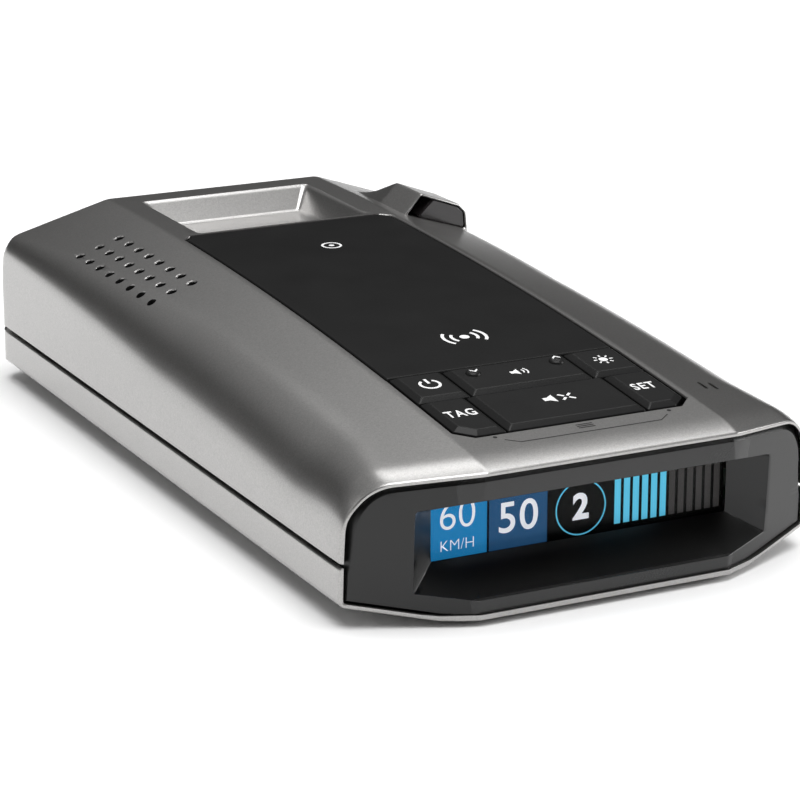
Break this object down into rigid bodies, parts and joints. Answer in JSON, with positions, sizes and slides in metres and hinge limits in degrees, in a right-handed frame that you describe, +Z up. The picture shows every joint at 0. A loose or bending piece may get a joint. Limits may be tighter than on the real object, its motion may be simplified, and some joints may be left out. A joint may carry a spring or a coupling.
{
  "type": "radar detector",
  "caption": "Dashboard radar detector: silver shell, hooded colour display, black key panel with spring-back keys, mount recess and rear laser hood.",
  "frame": {"origin": "centre of the bounding box's bottom face, on the surface that the detector rests on", "axes": "+X to the driver's right, +Y towards the road, +Z up; the display faces -Y"},
  "size_m": [0.075, 0.145, 0.0332],
  "materials": {
    "case_paint": "satin silver-grey metallic paint with a fine flake on moulded plastic",
    "satin_black": "fine-textured satin black",
    "gloss_bezel": "gloss charcoal black",
    "screen_glass": "polished smoke window",
    "display_panel": "lit colour display behind the window",
    "flex_film": "amber polyimide film",
    "key_plastic": "semi-gloss black with pad-printed white legends",
    "silicone": "matt silicone rubber",
    "circuit_board": "green solder mask",
    "plated_steel": "bright zinc plating",
    "tinned_metal": "tinned sheet",
    "chip_black": "matt black moulding compound",
    "cast_zinc": "as-cast zinc alloy",
    "infrared_window": "polished infrared-pass plastic",
    "ceramic": "fired ceramic",
    "magnet": "nickel-plated magnet",
    "dust_cloth": "black acoustic cloth",
    "socket_plastic": "black moulded nylon",
    "black_steel": "black oxide",
    "label_foil": "blank silver foil label"
  },
  "bodies": {
    "case": {"upper_case": "case_paint", "lower_case": "case_paint", "top_panel": "satin_black", "display_bezel": "gloss_bezel", "display_window": "screen_glass", "display_module": "display_panel", "display_cable": "flex_film", "key_mat": "silicone", "key_board": "circuit_board", "key_board_screw_left": "plated_steel", "key_board_screw_right": "plated_steel", "main_board": "circuit_board", "shield_can": "tinned_metal", "processor": "chip_black", "horn_antenna": "cast_zinc", "laser_receiver": "chip_black", "road_window": "infrared_window", "rear_laser_window": "infrared_window", "rear_laser_sensor": "circuit_board", "gps_antenna": "ceramic", "mount_magnet_left": "magnet", "mount_magnet_right": "magnet", "speaker": "chip_black", "speaker_mesh": "dust_cloth", "light_sensor": "chip_black", "power_socket": "socket_plastic", "earphone_socket": "socket_plastic", "usb_socket": "tinned_metal", "case_screw_front_left": "black_steel", "case_screw_front_right": "black_steel", "case_screw_rear_left": "black_steel", "case_screw_rear_right": "black_steel", "rating_label": "label_foil"},
    "power_key": {"power_key": "key_plastic"},
    "volume_key": {"volume_key": "key_plastic"},
    "brightness_key": {"brightness_key": "key_plastic"},
    "mark_key": {"mark_key": "key_plastic"},
    "mute_key": {"mute_key": "key_plastic"},
    "sensitivity_key": {"sensitivity_key": "key_plastic"}
  },
  "joints": [
    {"name": "power_press", "type": "slide", "parent": "case", "child": "power_key", "axis": [0, 0.1062, -0.9943], "range_m": [0, 0.0005], "stiffness_N_per_m": 2000, "springref_m": -0.0003},
    {"name": "brightness_press", "type": "slide", "parent": "case", "child": "brightness_key", "axis": [0, 0.1062, -0.9943], "range_m": [0, 0.0005], "stiffness_N_per_m": 2000, "springref_m": -0.0003},
    {"name": "mark_press", "type": "slide", "parent": "case", "child": "mark_key", "axis": [0, 0.1062, -0.9943], "range_m": [0, 0.0005], "stiffness_N_per_m": 2000, "springref_m": -0.0003},
    {"name": "mute_press", "type": "slide", "parent": "case", "child": "mute_key", "axis": [0, 0.1062, -0.9943], "range_m": [0, 0.0005], "stiffness_N_per_m": 2000, "springref_m": -0.0003},
    {"name": "sensitivity_press", "type": "slide", "parent": "case", "child": "sensitivity_key", "axis": [0, 0.1062, -0.9943], "range_m": [0, 0.0005], "stiffness_N_per_m": 2000, "springref_m": -0.0003},
    {"name": "volume_rock", "type": "hinge", "parent": "case", "child": "volume_key", "pos_m": [0, -0.04484, 0.02457], "axis": [0, 0.9943, 0.1062], "range_deg": [-2.5, 2.5], "stiffness_Nm_per_rad": 0.2}
  ]
}
